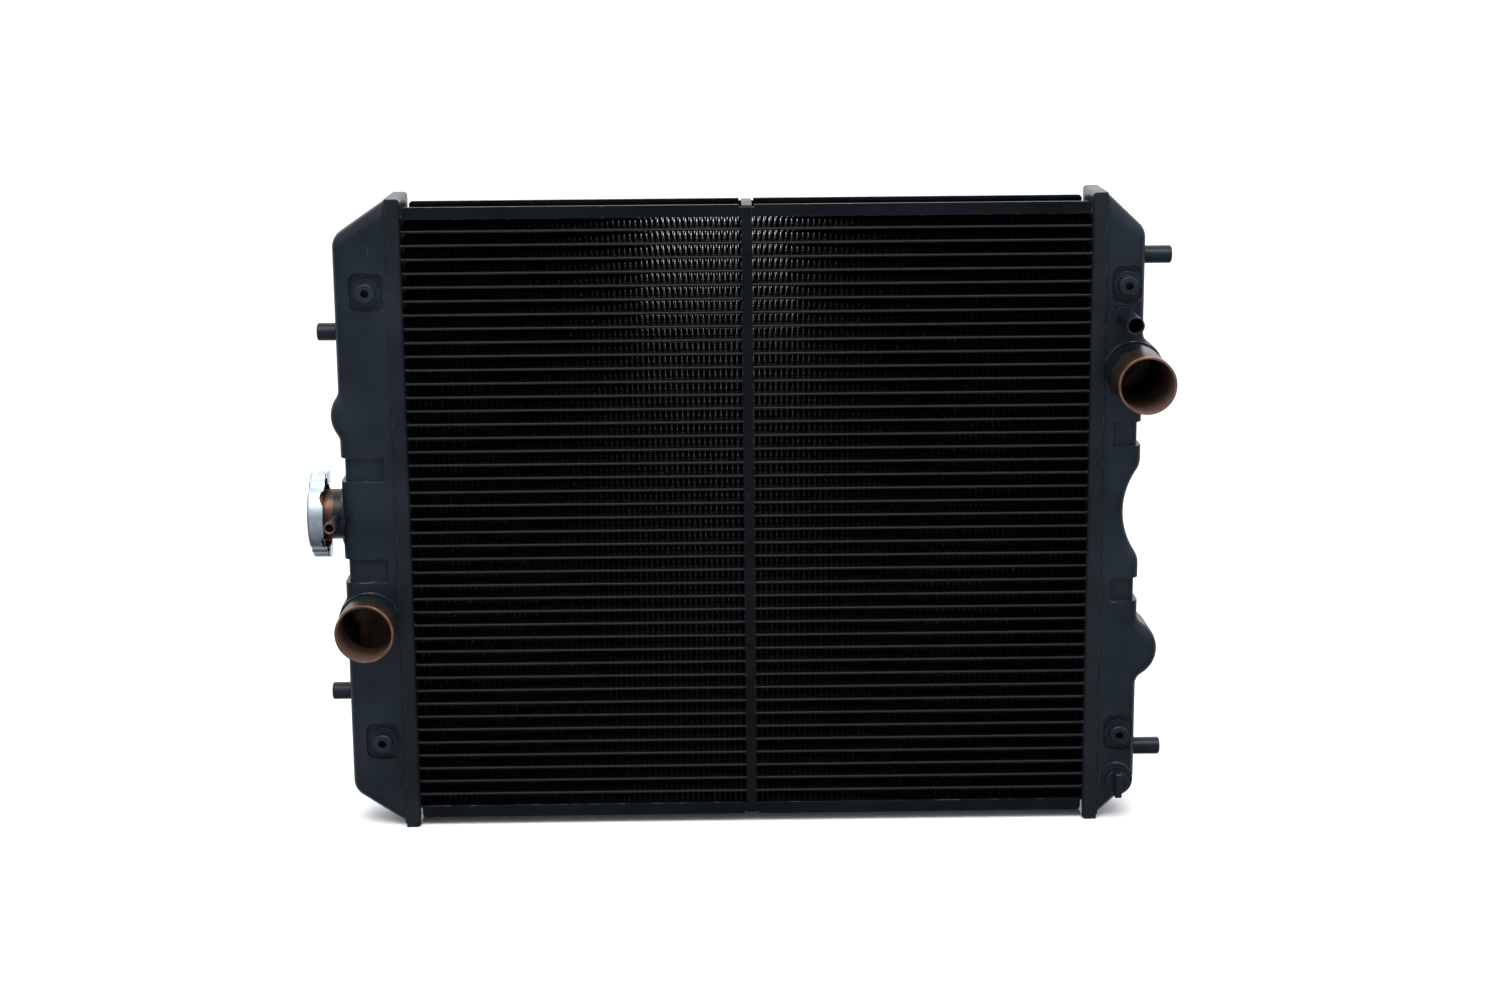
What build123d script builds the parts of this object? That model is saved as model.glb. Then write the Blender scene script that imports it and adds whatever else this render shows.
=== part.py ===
"""Soldered copper and brass car radiator, standing on the ends of its two header plates.

X runs along the tubes, from the filler tank (-X) to the drain tank (+X). Y runs through the core, and the
hose stubs face -Y. Z is up. Everything is built round the middle of the core, with the header plates' lower
ends at z = 0, and is moved at the end so that the origin is the bottom centre of the whole part's box.
"""
from build123d import *
from math import cos, radians, sin
import os

# ------------------------------------------------------------------ driving dimensions, in mm
# Fits
SOLDER_GAP = 0.1            # room for solder between two fixed pieces
RUNNING_GAP = 0.05          # round a shaft that turns
CONTACT_GAP = 0.05          # between faces that meet and part again
OVERCUT = 1.0               # a cutter runs this far past the face it cuts
NEAR = 0.1                  # an edge or corner this close to a place is taken to be at it

# Core
TUBE_LEVELS = 43            # tubes one above the other
TUBE_ROWS = 3               # tubes one behind the other
TUBE_WIDTH = 13.0
TUBE_THICKNESS = 2.0
TUBE_WALL = 0.2
TUBE_ROW_GAP = 2.0
TUBE_STANDOUT = 1.5         # past the header plate, inside the tank
FIN_HEIGHT = 6.5            # from one tube to the next
FIN_WAVES = 35              # folds along one fin sheet
FIN_SHEET = 0.15
FIN_SETBACK = 0.6           # behind the tubes' noses
CORE_LENGTH = 420.0         # between the header plates

# Side plates and strap
CHANNEL_HEIGHT = 7.5
CHANNEL_SHEET = 1.2
CHANNEL_HEM = 2.2           # the folded edge's height
CHANNEL_FLANGE_END = 0.8    # the flanges stop this far from the header plates
CHANNEL_CORNER = 1.6        # cut off the flanges' corners
STRAP_WIDTH = 6.2
STRAP_THICKNESS = 1.0
STRAP_CORNER = 2.0          # outside; inside it is nearly square, to hug the side plates
STRAP_DENT = 1.5            # pressed into the flanges' edges
STRAP_DENT_WIDTH = 9.0

# Header plates: trays, open towards their tanks
HEADER_LIP = 3.0            # past the core at the front and the back
HEADER_OVERHANG = 5.5       # past the side plates at both ends
HEADER_REACH = 9.0
HEADER_SHEET = 1.2
HEADER_EDGE = 2.5           # radius of the tray's outer edges

# Tanks
TANK_SHEET = 1.0
TANK_SHOULDER = 8.0         # radius from the broad faces to the end wall
TANK_CORNER = 12.0          # radius of the outline's corners
TANK_END_RISE = 22.0        # the sloping ends' height
TANK_SKIRT_RADIUS = 3.0
TANK_SKIRT_MARGIN = 1.0     # of the skirt that shows past the tray
FILLER_TANK_REACH = 33.5    # the end wall, past the header plate's edge
DRAIN_TANK_REACH = 24.3
GROOVE_DEPTH = 2.5
GROOVE_HEIGHT = 15.0
GROOVE_START = 6.0          # past the header plate's edge
FILLER_GROOVE_OFFSET = 32.0  # up and down from the middle
DRAIN_GROOVE_OFFSET = 49.5
WAIST_DEPTH = 10.0          # the dip in the middle of the drain tank's end wall
WAIST_HALF_HEIGHT = 29.0
WAIST_BLEND = 14.0

# Tubes and pins that pass through a wall are slightly thinner inside it, and rest on it with the step
STEP = 0.25

# Hose stubs and the round pads that carry them
STUB_WALL = 1.3
STUB_INSIDE = 2.0           # past the tank's wall
STUB_PAD_MARGIN = 1.2       # the raised pad's rim round the stub
STUB_PAD_RISE = 1.0
STUB_FOOT = 2.0             # the thinner foot ends this far out of the broad face, clear of the header plate
STUB_HEADER_GAP = 0.5       # from the stub to the line of the header plate's edge
STUB_BULGE_MARGIN = 1.8     # the bulge in the end wall, past the stub's radius
STUB_BULGE_BLEND = 8.0
INLET_RADIUS = 18.2
INLET_LENGTH = 28.0         # past the tank's broad face
INLET_HEIGHT = -65.0        # from the middle
OUTLET_RADIUS = 17.5
OUTLET_LENGTH = 54.0
OUTLET_HEIGHT = 89.0

# Bypass nipple, on the drain tank
BYPASS_RADIUS = 5.35
BYPASS_WALL = 0.9
BYPASS_LENGTH = 44.0
BYPASS_COLLAR = 1.0         # the bead at its foot: how far it stands out, and half its thickness
BYPASS_OFFSET = 11.5        # past the header plate's edge
BYPASS_HEIGHT = 123.5

# Mounting pins
PIN_RADIUS = 5.5
PIN_CHAMFER = 0.8
PIN_FOOT = 0.3              # the thinner foot ends this far out of the end wall
PIN_FLANGE_RADIUS = 8.0     # inside the tank
PIN_FLANGE_THICKNESS = 2.0
FILLER_PIN_LENGTH = 13.3
FILLER_PIN_OFFSET = 115.3
DRAIN_PIN_LENGTH = 18.7
DRAIN_PIN_OFFSET = 158.3

# Threaded bosses for the fan shroud
BOSS_RADIUS = 6.0
BOSS_RISE = 7.0             # past the tank's broad face
BOSS_FOOT_RADIUS = 8.3
BOSS_FOOT_THICKNESS = 2.0
BOSS_THREAD_RADIUS = 2.5
BOSS_THREAD_DEPTH = 8.0
BOSS_CHAMFER = 0.7
BOSS_OFFSET = 13.0          # past the header plate's edge
BOSS_HEIGHT = 142.3         # up and down from the middle
DIMPLE_DEPTH = 3.0
DIMPLE_HEIGHT = 23.0
DIMPLE_CORNER = 5.0
FILLER_DIMPLE_WIDTH = 21.0
DRAIN_DIMPLE_WIDTH = 18.0

# Drain
DRAIN_OFFSET = 11.8
DRAIN_HEIGHT = -172.6
DRAIN_PAD_RADIUS = 10.8
DRAIN_PAD_RISE = 1.5
DRAIN_THREAD_RADIUS = 5.0
DRAIN_BOSS_RADIUS = 8.8
DRAIN_BOSS_THICKNESS = 2.5
DRAIN_SLEEVE_RADIUS = 6.8
DRAIN_SLEEVE_LENGTH = 9.0
DRAIN_SEAL_WIDTH = 1.7
DRAIN_SEAL_THICKNESS = 1.4
DRAIN_HEAD_RADIUS = 7.35
DRAIN_HEAD_THICKNESS = 3.0
DRAIN_SHANK_LENGTH = 13.0
DRAIN_HEAD_EDGE = 0.75
DRAIN_TIP = 1.5
WING_THICKNESS = 4.2
WING_WIDTH = 16.4
WING_RISE = 8.0
WING_ROOT = 2.0             # how deep the wing starts in the head
WING_CORNER = 2.0
WING_TAPER = 0.7            # radius along the wing's edges

# Filler neck. Heights are measured out of the tank, from the neck's pad.
NECK_RADIUS = 15.75
NECK_WALL = 1.2
NECK_PAD_MARGIN = 3.75      # the pad, past the neck's radius
NECK_PAD_RISE = 1.2
NECK_HEIGHT = 14.9
NECK_FLANGE_REACH = 6.05    # past the neck's radius
NECK_FLANGE_SHEET = 0.9
CAM_HEIGHT = 3.5            # the flange's turned-down rim
NOTCH_ANGLE = 44.0
NOTCH_DEPTH = 1.8
SEAT_DEPTH = 17.0           # from the flange down to the valve's seat
SEAT_THICKNESS = 1.0
SEAT_WIDTH = 4.05           # in from the neck's bore
OVERFLOW_RADIUS = 3.5
OVERFLOW_WALL = 0.9
OVERFLOW_HEIGHT = 3.75
OVERFLOW_ROOT = 9.75        # the thinner stretch next to the neck, to past the cap's rim
OVERFLOW_LENGTH = 27.0      # past the neck's wall

# Cap. The shell is round, with two ears and four hollows.
CAP_SHEET = 0.9
CAP_PLAY = 0.7              # round the neck's flange
CAP_ROUND_REACH = 1.6       # of the round parts, past the hollows
CAP_EAR_LENGTH = 4.2        # of the ears, past the hollows
CAP_EAR_RADIUS = 8.5
CAP_HOLLOW_RADIUS = 9.0
CAP_HOLLOW_ANGLE = 36.0     # from the ears to the hollows
CAP_RISE = 5.4              # the face's height over the neck's flange
CAP_SKIRT = 10.0
CAP_EDGE = 2.0
CAP_SCALLOP_RADIUS = 8.0    # cut into the skirt's free edge
CAP_SCALLOP_DEPTH = 2.2
CAP_SCALLOP_ANGLE = 54.0
CAP_DISH_RADIUS = 9.5
CAP_DISH_TOP_RADIUS = 13.0
LUG_ANGLE = 30.0
LUG_GRIP = 1.4              # how far the lugs reach in past the cam rim
LUG_SHEET = 0.8
LUG_PLAY = 1.5              # under the cam rim
GASKET_SETBACK = 0.95       # out from the neck's bore
GASKET_MARGIN = 0.4         # in from the notches
GASKET_THICKNESS = 1.2
DISC_MARGIN = 0.2
DISC_THICKNESS = 0.6
DISC_PLAY = 0.3
RIVET_RADIUS = 1.5
RIVET_HEAD_RADIUS = 4.0
RIVET_HEAD = 1.0
BELL_PLAY = 0.95            # inside the neck's bore
BELL_SHEET = 0.8
BELL_LENGTH = 12.2
BELL_LIP_WIDTH = 3.1
VALVE_PLAY = 0.9            # inside the bell and inside its lip
VALVE_SHEET = 0.8
VALVE_SEAL_REACH = 2.1      # over the seat, past its opening
VALVE_SEAL_INNER = 5.5
VALVE_SEAL_THICKNESS = 1.35
VALVE_REST_GAP = 0.3        # over the bell's lip
PRESSURE_WIRE = 1.6
PRESSURE_COIL_MARGIN = 0.5  # in from the valve flange's edge
PRESSURE_TURNS = 3
VACUUM_PORT_RADIUS = 2.2
VACUUM_DISC_RADIUS = 4.6
VACUUM_STEM_RADIUS = 1.0
VACUUM_STEM_LENGTH = 4.4    # over the valve plate
VACUUM_BUTTON_RADIUS = 2.6
VACUUM_BUTTON = 0.6
VACUUM_WIRE = 0.5
VACUUM_COIL_RADIUS = 1.75
VACUUM_TURNS = 4

# ------------------------------------------------------------------ derived sizes and places
TUBE_PITCH = TUBE_THICKNESS + FIN_HEIGHT
CORE_DEPTH = TUBE_ROWS * TUBE_WIDTH + (TUBE_ROWS - 1) * TUBE_ROW_GAP
CORE_HEIGHT = TUBE_LEVELS * TUBE_THICKNESS + (TUBE_LEVELS + 1) * FIN_HEIGHT
HEADER_LENGTH = CORE_HEIGHT + 2 * (CHANNEL_HEIGHT + HEADER_OVERHANG)
HEADER_DEPTH = CORE_DEPTH + 2 * HEADER_LIP
MIDDLE = HEADER_LENGTH / 2
HEADER_INNER = CORE_LENGTH / 2
HEADER_OUTER = HEADER_INNER + HEADER_REACH
TANK_DEPTH = HEADER_DEPTH - 2 * (HEADER_SHEET + SOLDER_GAP)
TANK_FRONT = -TANK_DEPTH / 2
TANK_TOP = HEADER_LENGTH - HEADER_SHEET - SOLDER_GAP
FILLER_WALL = HEADER_OUTER + FILLER_TANK_REACH
DRAIN_WALL = HEADER_OUTER + DRAIN_TANK_REACH
INLET_X = HEADER_OUTER + STUB_HEADER_GAP + INLET_RADIUS
OUTLET_X = HEADER_OUTER + STUB_HEADER_GAP + OUTLET_RADIUS
BOSS_X = HEADER_OUTER + BOSS_OFFSET
BYPASS_X = HEADER_OUTER + BYPASS_OFFSET
DRAIN_X = HEADER_OUTER + DRAIN_OFFSET
DRAIN_Z = MIDDLE + DRAIN_HEIGHT
DRAIN_FACE = TANK_FRONT - DRAIN_PAD_RISE
NECK_BASE = FILLER_WALL + NECK_PAD_RISE

# Radii round the neck's axis, each from the one it has to fit
NECK_BORE = NECK_RADIUS - NECK_WALL
NECK_FLANGE_RADIUS = NECK_RADIUS + NECK_FLANGE_REACH
NOTCH_RADIUS = NECK_FLANGE_RADIUS - NOTCH_DEPTH
SEAT_RADIUS = NECK_BORE - SEAT_WIDTH
CAP_HOLLOW_REACH = NECK_FLANGE_RADIUS + CAP_PLAY + CAP_SHEET
CAP_RADIUS = CAP_HOLLOW_REACH + CAP_ROUND_REACH
CAP_EAR_REACH = CAP_HOLLOW_REACH + CAP_EAR_LENGTH
LUG_REACH = NECK_FLANGE_RADIUS - LUG_GRIP
BELL_RADIUS = NECK_BORE - BELL_PLAY
BELL_LIP_RADIUS = BELL_RADIUS - BELL_LIP_WIDTH
VALVE_CUP_RADIUS = BELL_LIP_RADIUS - VALVE_PLAY
VALVE_FLANGE_RADIUS = BELL_RADIUS - BELL_SHEET - VALVE_PLAY
VALVE_SEAL_RADIUS = SEAT_RADIUS + VALVE_SEAL_REACH
PRESSURE_COIL_RADIUS = VALVE_FLANGE_RADIUS - PRESSURE_COIL_MARGIN - PRESSURE_WIRE / 2

# Heights along the neck's axis, out of the tank
SEAT_TOP = NECK_HEIGHT - SEAT_DEPTH
GASKET_BASE = NECK_HEIGHT + CONTACT_GAP
DISC_BASE = GASKET_BASE + GASKET_THICKNESS
SHELL_BASE = DISC_BASE + DISC_THICKNESS + DISC_PLAY
CAP_FACE = NECK_HEIGHT + CAP_RISE
LUG_TOP = NECK_HEIGHT - CAM_HEIGHT - LUG_PLAY
BELL_BASE = DISC_BASE - BELL_LENGTH
SEAL_BASE = SEAT_TOP + CONTACT_GAP
VALVE_BASE = SEAL_BASE + VALVE_SEAL_THICKNESS
VALVE_FLANGE_BASE = BELL_BASE + BELL_SHEET + VALVE_REST_GAP


# ------------------------------------------------------------------ helpers
def box(x, y, z):
    """A box from three (low, high) pairs."""
    size = [high - low for low, high in (x, y, z)]
    middle = [(high + low) / 2 for low, high in (x, y, z)]
    return Pos(*middle) * Box(*size)


def rod(radius, low, high):
    """A cylinder on the Z axis, from one height to another."""
    return Pos(0, 0, (low + high) / 2) * Cylinder(radius, high - low)


def ring(outer, inner, low, high):
    """A tube on the Z axis."""
    return rod(outer, low, high) - rod(inner, low, high)


def forward(x, z, y=0.0):
    """Where a piece built along +Z goes so that it points out of the broad front face."""
    return Location((x, y, z)) * Rotation(90, 0, 0)


def outward(x, z):
    """Where a piece built along +Z goes so that it points out along +X."""
    return Location((x, 0, z)) * Rotation(0, 90, 0)


def on_neck(piece):
    """From the neck's own axis, +Z out of the tank, to its place on the filler tank."""
    return (Location((-NECK_BASE, 0, MIDDLE)) * Rotation(0, -90, 0)) * piece


def mirrored(piece):
    """The same piece on the filler side of the core."""
    return mirror(piece, about=Plane.YZ)


# ------------------------------------------------------------------ core
def tube_places():
    """The tubes' (y, z) centres, row by row."""
    first_row = -(TUBE_ROWS - 1) / 2
    first_level = -(TUBE_LEVELS - 1) / 2
    row_pitch = TUBE_WIDTH + TUBE_ROW_GAP
    return [
        ((first_row + row) * row_pitch, MIDDLE + (first_level + level) * TUBE_PITCH)
        for level in range(TUBE_LEVELS)
        for row in range(TUBE_ROWS)
    ]


def flat_oval(width, thickness):
    return SlotOverall(width, thickness)


def core_tubes():
    length = CORE_LENGTH + 2 * (HEADER_SHEET + TUBE_STANDOUT)
    section = flat_oval(TUBE_WIDTH, TUBE_THICKNESS)
    section -= flat_oval(TUBE_WIDTH - 2 * TUBE_WALL, TUBE_THICKNESS - 2 * TUBE_WALL)
    tube = extrude(Plane.YZ * section, amount=length / 2, both=True)
    return Compound(children=[Pos(0, y, z) * tube for y, z in tube_places()])


def core_fins():
    """One folded sheet in each gap between tubes."""
    half_wave = CORE_LENGTH / (2 * FIN_WAVES + 2)
    crest = FIN_HEIGHT / 2 - CONTACT_GAP
    folds = [
        ((index - FIN_WAVES) * half_wave, crest if index % 2 else FIN_SHEET - crest)
        for index in range(2 * FIN_WAVES + 1)
    ]
    lower = [(x, z - FIN_SHEET) for x, z in reversed(folds)]
    outline = Plane.XZ * Polygon(*folds, *lower, align=None)
    fin = extrude(outline, amount=CORE_DEPTH / 2 - FIN_SETBACK, both=True)
    first = MIDDLE - TUBE_LEVELS / 2 * TUBE_PITCH
    return Compound(children=[Pos(0, 0, first + gap * TUBE_PITCH) * fin for gap in range(TUBE_LEVELS + 1)])


def side_plate():
    """The channel over the core: a web on the last fin, with a hemmed flange at the front and the back."""
    base = MIDDLE + CORE_HEIGHT / 2
    top = base + CHANNEL_HEIGHT
    half_depth = CORE_DEPTH / 2
    length = HEADER_INNER - SOLDER_GAP
    web = box((-length, length), (-half_depth, half_depth), (base, base + CHANNEL_SHEET))
    reach = length - CHANNEL_FLANGE_END
    outline = Polygon(
        (-reach, base), (reach, base), (reach, top - CHANNEL_CORNER), (reach - CHANNEL_CORNER, top),
        (CHANNEL_CORNER - reach, top), (-reach, top - CHANNEL_CORNER), align=None,
    )
    dent = Pos(0, top) * Rectangle(STRAP_DENT_WIDTH, 2 * STRAP_DENT)
    flange = extrude(Plane.XZ * (outline - dent), amount=CHANNEL_SHEET)
    hem = flange & box((-reach, reach), (-CHANNEL_SHEET, 0), (top - CHANNEL_HEM, top))
    front = Pos(0, CHANNEL_SHEET - half_depth, 0) * flange + Pos(0, 2 * CHANNEL_SHEET - half_depth, 0) * hem
    return web + front + mirror(front, about=Plane.XZ)


def centre_strap():
    """A closed band round the core and both side plates, lying in the dents in their flanges."""
    depth = CORE_DEPTH + 2 * SOLDER_GAP
    height = CORE_HEIGHT + 2 * (CHANNEL_HEIGHT - STRAP_DENT + SOLDER_GAP)
    thick = 2 * STRAP_THICKNESS
    loop = RectangleRounded(depth + thick, height + thick, STRAP_CORNER)
    loop -= RectangleRounded(depth, height, 2 * SOLDER_GAP)
    return Pos(0, 0, MIDDLE) * extrude(Plane.YZ * loop, amount=STRAP_WIDTH / 2, both=True)


def header_plate():
    """The tray on the drain side: its web takes the tubes' ends and its rim holds the tank's skirt."""
    half_depth = HEADER_DEPTH / 2
    tray = box((HEADER_INNER, HEADER_OUTER), (-half_depth, half_depth), (0, HEADER_LENGTH))
    tray = fillet(tray.faces().sort_by(Axis.X)[0].edges(), HEADER_EDGE)
    hollow = box(
        (HEADER_INNER + HEADER_SHEET, HEADER_OUTER),
        (HEADER_SHEET - half_depth, half_depth - HEADER_SHEET),
        (HEADER_SHEET, HEADER_LENGTH - HEADER_SHEET),
    )
    slot = flat_oval(TUBE_WIDTH + 2 * CONTACT_GAP, TUBE_THICKNESS + 2 * CONTACT_GAP)
    slots = Sketch() + [Pos(y, z) * slot for y, z in tube_places()]
    cut = extrude(Plane.YZ.offset(HEADER_INNER) * slots, amount=HEADER_SHEET)
    return tray - hollow - cut


# ------------------------------------------------------------------ tanks
def tank_outline(wall, stub, waist):
    """The drain-side tank seen from the front: distance from the core's middle against height.

    The stub is given by its distance, height and radius, and bulges the outline at both ends of the tank.
    """
    root = HEADER_OUTER - HEADER_REACH / 2
    edge = HEADER_OUTER + TANK_SKIRT_MARGIN
    low, high = HEADER_LENGTH - TANK_TOP, TANK_TOP
    outline = Polygon(
        (root, low), (edge, low), (wall, low + TANK_END_RISE), (wall, high - TANK_END_RISE),
        (edge, high), (root, high), align=None,
    )
    outline = fillet(outline.vertices().filter_by(lambda v: v.X > edge + NEAR), TANK_CORNER)
    outline = fillet(outline.vertices().filter_by(lambda v: abs(v.X - edge) < NEAR), TANK_CORNER / 2)
    if waist:
        radius = (WAIST_HALF_HEIGHT ** 2 + WAIST_DEPTH ** 2) / (2 * WAIST_DEPTH)
        outline -= Pos(wall + radius - WAIST_DEPTH, MIDDLE) * Circle(radius)
        ends = [v for v in outline.vertices() if abs(abs(v.Y - MIDDLE) - WAIST_HALF_HEIGHT) < NEAR]
        outline = fillet(ends, WAIST_BLEND)
    distance, offset_height, radius = stub
    bulge = radius + STUB_BULGE_MARGIN
    meeting = (bulge ** 2 - (wall - distance) ** 2) ** 0.5
    for height in (MIDDLE - offset_height, MIDDLE + offset_height):
        outline += Pos(distance, height) * Circle(bulge)
        ends = [v for v in outline.vertices() if abs(abs(v.Y - height) - meeting) < NEAR]
        outline = fillet(ends, STUB_BULGE_BLEND)
    return outline


def tank_form(wall, groove, stub, dimple_width, waist, pads, inset):
    """A drain-side tank as one filled body, smaller all round by the inset.

    The pads are raised drums: the place of each, its radius and its rise.
    """
    depth = TANK_DEPTH / 2 - inset
    shoulder = TANK_SHOULDER - inset
    root = HEADER_OUTER - HEADER_REACH / 2
    outline = tank_outline(wall, stub, waist)
    if inset:
        outline = offset(outline, -inset, kind=Kind.INTERSECTION)
    body = extrude(Plane.XZ * outline, amount=depth, both=True)
    rim = [
        e for e in body.edges().filter_by(lambda e: abs(abs(e.center().Y) - depth) < NEAR)
        if e.center().X > root + inset + NEAR
    ]
    body = fillet(rim, shoulder)

    start = HEADER_OUTER + GROOVE_START
    for side in (-1, 1):
        middle = MIDDLE + side * groove
        half = GROOVE_HEIGHT / 2 + inset
        band = (middle - half, middle + half)
        body -= box((start - inset, wall + TANK_SHOULDER), (-TANK_DEPTH, TANK_DEPTH), band)
        floor = depth - GROOVE_DEPTH
        band = (band[0] - OVERCUT, band[1] + OVERCUT)
        block = box((root + inset, wall - inset - GROOVE_DEPTH), (-floor, floor), band)
        corners = block.edges().filter_by(Axis.Z).sort_by(Axis.X)[-2:]
        body += fillet(corners, shoulder - GROOVE_DEPTH)

    beside_header = box(
        (0, HEADER_OUTER + SOLDER_GAP + inset), (-TANK_DEPTH, TANK_FRONT + inset), (0, HEADER_LENGTH)
    )
    for place, radius, rise in pads:
        body += place * rod(radius - inset, -TANK_SHOULDER, rise - inset) - beside_header

    for side in (-1, 1):
        width = dimple_width / 2 + inset
        height = DIMPLE_HEIGHT / 2 + inset
        floor = TANK_FRONT + DIMPLE_DEPTH + inset
        cut = box(
            (BOSS_X - width, BOSS_X + width), (TANK_FRONT - OVERCUT, floor),
            (MIDDLE + side * BOSS_HEIGHT - height, MIDDLE + side * BOSS_HEIGHT + height),
        )
        body -= fillet(cut.edges().filter_by(Axis.Y), DIMPLE_CORNER)

    low = HEADER_LENGTH - TANK_TOP + inset
    back = HEADER_INNER + HEADER_SHEET - (2 * TANK_SHEET if inset else 0)
    skirt = box(
        (back, HEADER_OUTER + TANK_SKIRT_MARGIN), (-depth, depth), (low, HEADER_LENGTH - low),
    )
    return body + fillet(skirt.edges().filter_by(Axis.X), TANK_SKIRT_RADIUS - inset)


def tank_shell(holes, **shape):
    """The filled form less its smaller self, with holes for what passes through its walls."""
    shell = tank_form(inset=0.0, **shape) - tank_form(inset=TANK_SHEET, **shape)
    for place, radius in holes:
        shell -= place * rod(radius + SOLDER_GAP, -2 * TANK_SHOULDER, 2 * TANK_SHOULDER)
    return shell


def pin_holes(wall, offset_height):
    return [(outward(wall, MIDDLE + side * offset_height), PIN_RADIUS - STEP) for side in (-1, 1)]


def filler_tank():
    inlet = forward(INLET_X, MIDDLE + INLET_HEIGHT, TANK_FRONT)
    neck = outward(FILLER_WALL, MIDDLE)
    shell = tank_shell(
        holes=[(inlet, INLET_RADIUS - STEP), (neck, NECK_RADIUS)] + pin_holes(FILLER_WALL, FILLER_PIN_OFFSET),
        wall=FILLER_WALL,
        groove=FILLER_GROOVE_OFFSET,
        stub=(INLET_X, INLET_HEIGHT, INLET_RADIUS),
        dimple_width=FILLER_DIMPLE_WIDTH,
        waist=False,
        pads=[
            (inlet, INLET_RADIUS + STUB_PAD_MARGIN, STUB_PAD_RISE),
            (neck, NECK_RADIUS + NECK_PAD_MARGIN, NECK_PAD_RISE),
        ],
    )
    return mirrored(shell)


def drain_tank():
    outlet = forward(OUTLET_X, MIDDLE + OUTLET_HEIGHT, TANK_FRONT)
    bypass = forward(BYPASS_X, MIDDLE + BYPASS_HEIGHT, TANK_FRONT)
    drain = forward(DRAIN_X, DRAIN_Z, TANK_FRONT)
    return tank_shell(
        holes=[
            (outlet, OUTLET_RADIUS - STEP), (bypass, BYPASS_RADIUS - STEP), (drain, DRAIN_SLEEVE_RADIUS),
            *pin_holes(DRAIN_WALL, DRAIN_PIN_OFFSET),
        ],
        wall=DRAIN_WALL,
        groove=DRAIN_GROOVE_OFFSET,
        stub=(OUTLET_X, OUTLET_HEIGHT, OUTLET_RADIUS),
        dimple_width=DRAIN_DIMPLE_WIDTH,
        waist=True,
        pads=[
            (outlet, OUTLET_RADIUS + STUB_PAD_MARGIN, STUB_PAD_RISE),
            (drain, DRAIN_PAD_RADIUS, DRAIN_PAD_RISE),
        ],
    )


# ------------------------------------------------------------------ fittings
def hose_stub(distance, height, radius, length):
    """A plain tube through a pad on the tank's broad front face."""
    bore = radius - STUB_WALL
    tube = ring(radius, bore, STUB_FOOT, length)
    tube += ring(radius - STEP, bore, -TANK_SHEET - STUB_INSIDE, STUB_FOOT)
    return forward(distance, MIDDLE + height, TANK_FRONT) * tube


def bypass_nipple():
    bore = BYPASS_RADIUS - BYPASS_WALL
    foot = SOLDER_GAP + 2 * BYPASS_COLLAR
    tube = ring(BYPASS_RADIUS - STEP, bore, -TANK_SHEET - STUB_INSIDE, SOLDER_GAP)
    tube += ring(BYPASS_RADIUS + BYPASS_COLLAR, bore, SOLDER_GAP, foot)
    tube += ring(BYPASS_RADIUS, bore, foot, BYPASS_LENGTH)
    return forward(BYPASS_X, MIDDLE + BYPASS_HEIGHT, TANK_FRONT) * tube


def mounting_pin(wall, length, height):
    """A pin through the tank's end wall, with its flange soldered inside."""
    flange_top = -TANK_SHEET - SOLDER_GAP
    pin = rod(PIN_RADIUS, PIN_FOOT, length)
    pin = chamfer(pin.edges().sort_by(Axis.Z)[-1], PIN_CHAMFER)
    pin += rod(PIN_RADIUS - STEP, flange_top - PIN_FLANGE_THICKNESS, PIN_FOOT)
    pin += rod(PIN_FLANGE_RADIUS, flange_top - PIN_FLANGE_THICKNESS, flange_top)
    return outward(wall, MIDDLE + height) * pin


def threaded_boss(height):
    """A shroud boss on the floor of its dimple, with a blind threaded hole."""
    floor = -DIMPLE_DEPTH
    boss = rod(BOSS_RADIUS, floor, BOSS_RISE)
    boss = chamfer(boss.edges().sort_by(Axis.Z)[-1], BOSS_CHAMFER)
    boss += rod(BOSS_FOOT_RADIUS, floor, floor + BOSS_FOOT_THICKNESS)
    boss -= rod(BOSS_THREAD_RADIUS, BOSS_RISE - BOSS_THREAD_DEPTH, BOSS_RISE)
    return forward(BOSS_X, MIDDLE + height, TANK_FRONT) * boss


def at_drain(piece):
    """From the drain's own axis, +Z out of the tank from its pad, to its place."""
    return forward(DRAIN_X, DRAIN_Z, DRAIN_FACE) * piece


def drain_boss():
    boss = ring(DRAIN_BOSS_RADIUS, DRAIN_THREAD_RADIUS + RUNNING_GAP, 0, DRAIN_BOSS_THICKNESS)
    boss += ring(DRAIN_SLEEVE_RADIUS, DRAIN_THREAD_RADIUS + RUNNING_GAP, -DRAIN_SLEEVE_LENGTH, 0)
    return at_drain(boss)


def drain_seal():
    base = DRAIN_BOSS_THICKNESS + CONTACT_GAP
    inner = DRAIN_THREAD_RADIUS + RUNNING_GAP
    seal = ring(inner + DRAIN_SEAL_WIDTH, inner, base, base + DRAIN_SEAL_THICKNESS)
    return at_drain(seal)


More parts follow.
